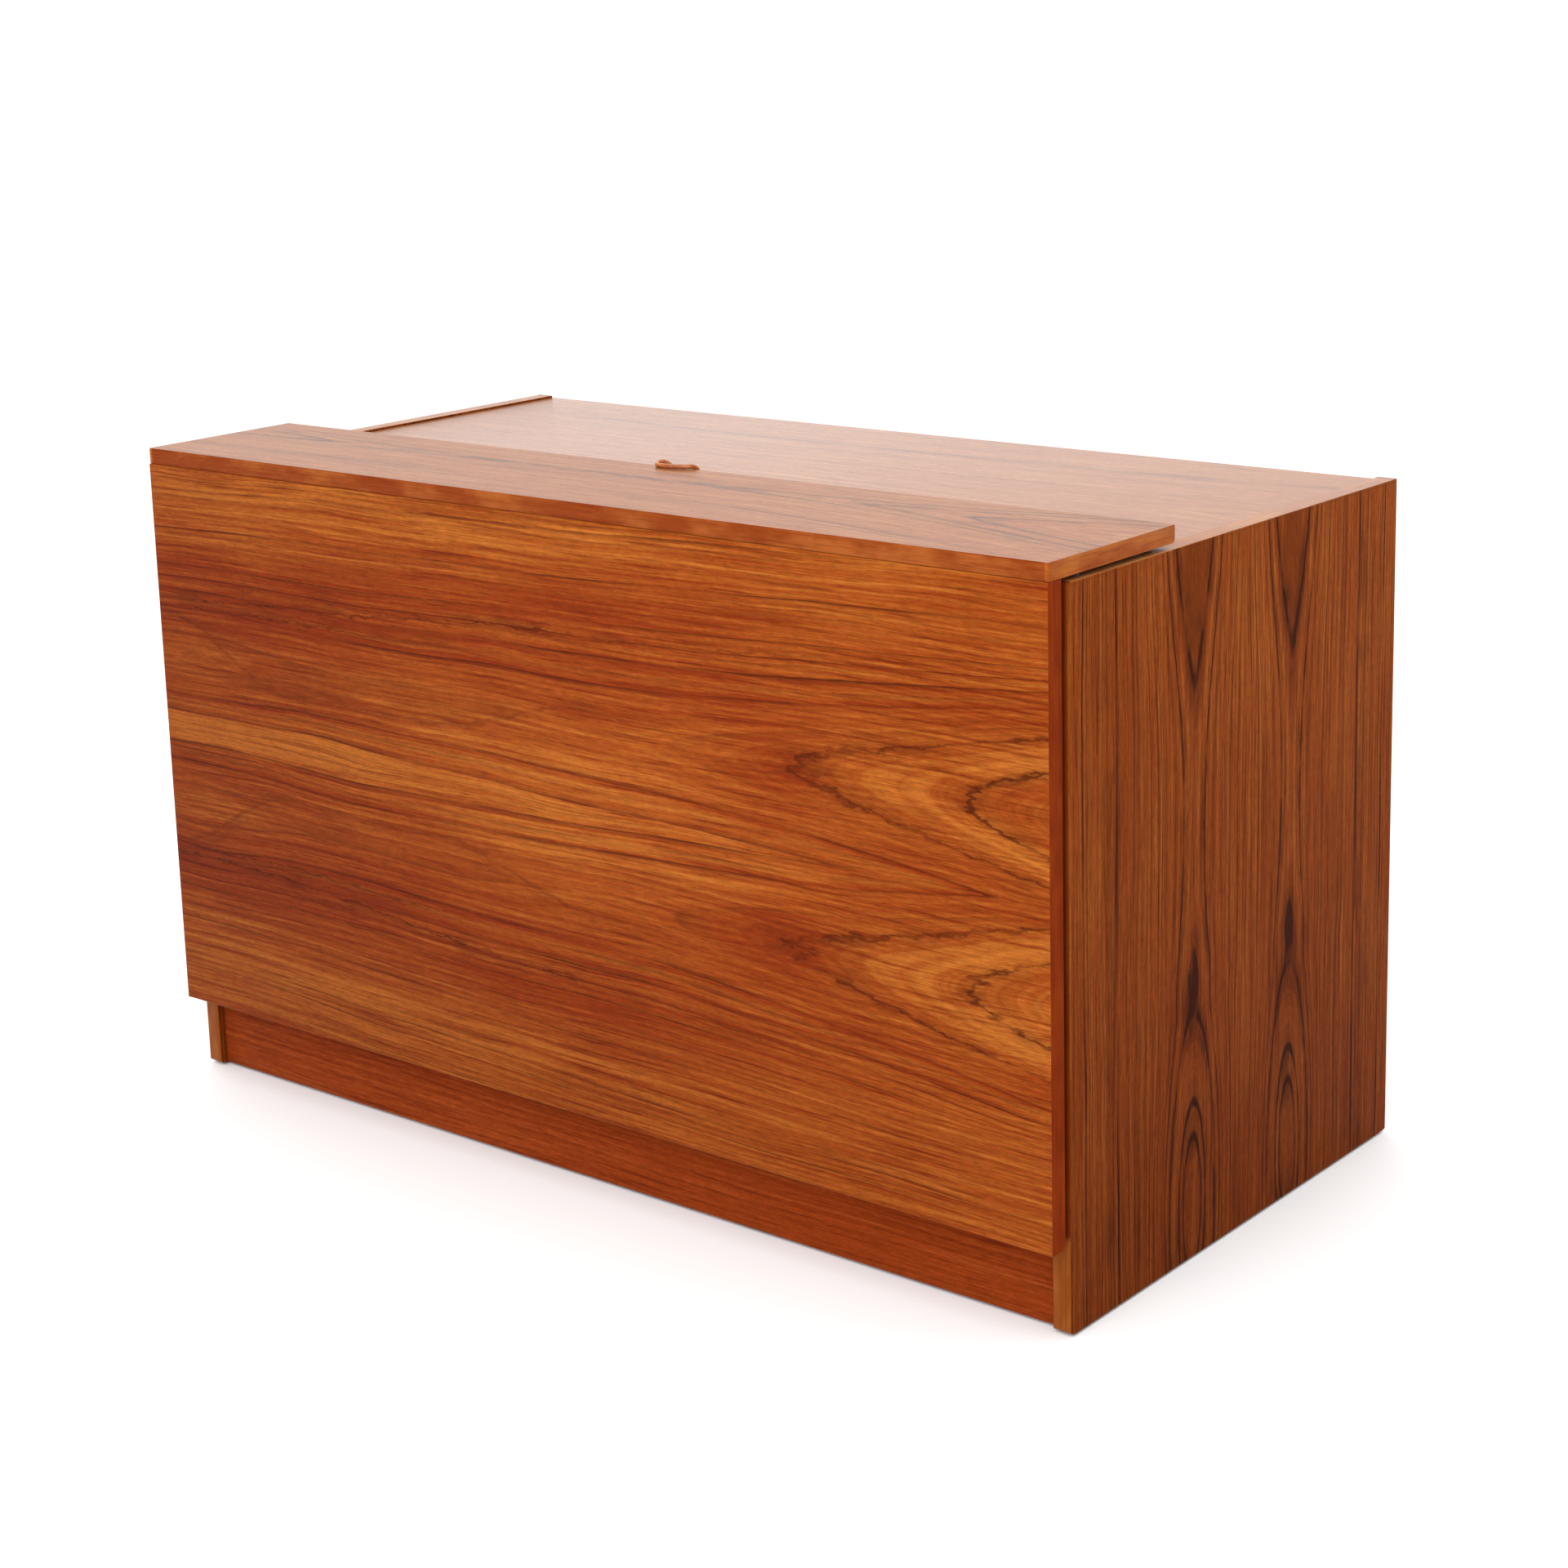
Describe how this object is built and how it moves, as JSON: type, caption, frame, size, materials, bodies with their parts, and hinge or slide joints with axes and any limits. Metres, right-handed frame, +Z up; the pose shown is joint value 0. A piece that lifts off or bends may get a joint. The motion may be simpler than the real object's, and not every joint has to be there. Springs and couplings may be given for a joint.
{
  "type": "sewing table",
  "caption": "Teak sewing table like a closed cabinet: its front swings out for knee room, a top flap with a leather pull opens the machine well, and an inner shelf lifts the machine.",
  "frame": {"origin": "on the floor, under the middle of the table's bounding box", "axes": "+Z up, -Y towards the front panel, +X to the right as seen from the front"},
  "size_m": [1.205, 0.63, 0.7379],
  "materials": {
    "teak_veneer": "satin lacquered teak veneer",
    "teak_solid": "satin solid teak",
    "teak_plinth": "satin teak veneer, darker",
    "pale_wood": "plain beech",
    "brass": "brushed",
    "steel": "zinc plated",
    "dark_plastic": "matte",
    "felt": "felt",
    "leather": "tan leather cord"
  },
  "bodies": {
    "carcase": {"side_panel_left": "teak_veneer", "side_panel_right": "teak_veneer", "side_front_lipping_left": "teak_solid", "side_front_lipping_right": "teak_solid", "side_rear_lippings": "teak_solid", "side_top_lippings": "teak_solid", "main_top": "teak_veneer", "main_top_front_lipping": "teak_solid", "main_top_rear_lipping": "teak_solid", "well_board_left": "teak_veneer", "well_board_right": "teak_veneer", "well_board_lippings": "teak_solid", "bottom_panel": "teak_veneer", "kick_board": "teak_plinth", "rear_plinth": "teak_plinth", "back_panel": "teak_veneer", "back_screws": "brass", "partition_left": "teak_veneer", "partition_right": "teak_veneer", "side_shelf_left": "teak_veneer", "side_shelf_right": "teak_veneer", "shelf_pins": "brass", "top_cleats": "pale_wood", "cleat_screws": "brass", "lift_rail_left": "steel", "lift_rail_right": "steel", "lift_stops": "pale_wood", "door_catch": "dark_plastic", "door_bumpers": "felt", "flap_pads": "felt", "floor_glides": "dark_plastic", "hinge_leaf_side": "brass", "hinge_pin": "steel", "hinge_screws_side": "brass"},
    "swing_front": {"front_panel": "teak_veneer", "front_lipping_left": "teak_solid", "front_lipping_right": "teak_solid", "front_lipping_top": "teak_solid", "front_lipping_bottom": "teak_solid", "hinge_leaf_front": "brass", "hinge_screws_front": "brass", "catch_strike": "steel", "thread_rack": "teak_veneer", "thread_pegs": "teak_solid", "notions_tray": "teak_veneer", "flap_hinge_lower": "brass"},
    "top_flap": {"flap_board": "teak_veneer", "flap_lipping_front": "teak_solid", "flap_lipping_rear": "teak_solid", "flap_lipping_left": "teak_solid", "flap_lipping_right": "teak_solid", "flap_hinge_upper": "brass", "leather_loop": "leather"},
    "machine_lift": {"machine_shelf": "teak_veneer", "machine_shelf_lipping": "teak_solid", "lift_arm_left": "steel", "lift_arm_right": "steel", "lift_arm_screws": "brass"}
  },
  "joints": [
    {"name": "front_swing", "type": "hinge", "parent": "carcase", "child": "swing_front", "pos_m": [-0.6, -0.2915, 0.4], "axis": [0, 0, -1], "range_deg": [0, 120]},
    {"name": "flap_hinge", "type": "hinge", "parent": "swing_front", "child": "top_flap", "pos_m": [0, -0.3153, 0.7142], "axis": [1, 0, 0], "range_deg": [0, 180]},
    {"name": "machine_lift_slide", "type": "slide", "parent": "carcase", "child": "machine_lift", "axis": [0, 0, 1], "range_m": [0, 0.242]}
  ]
}
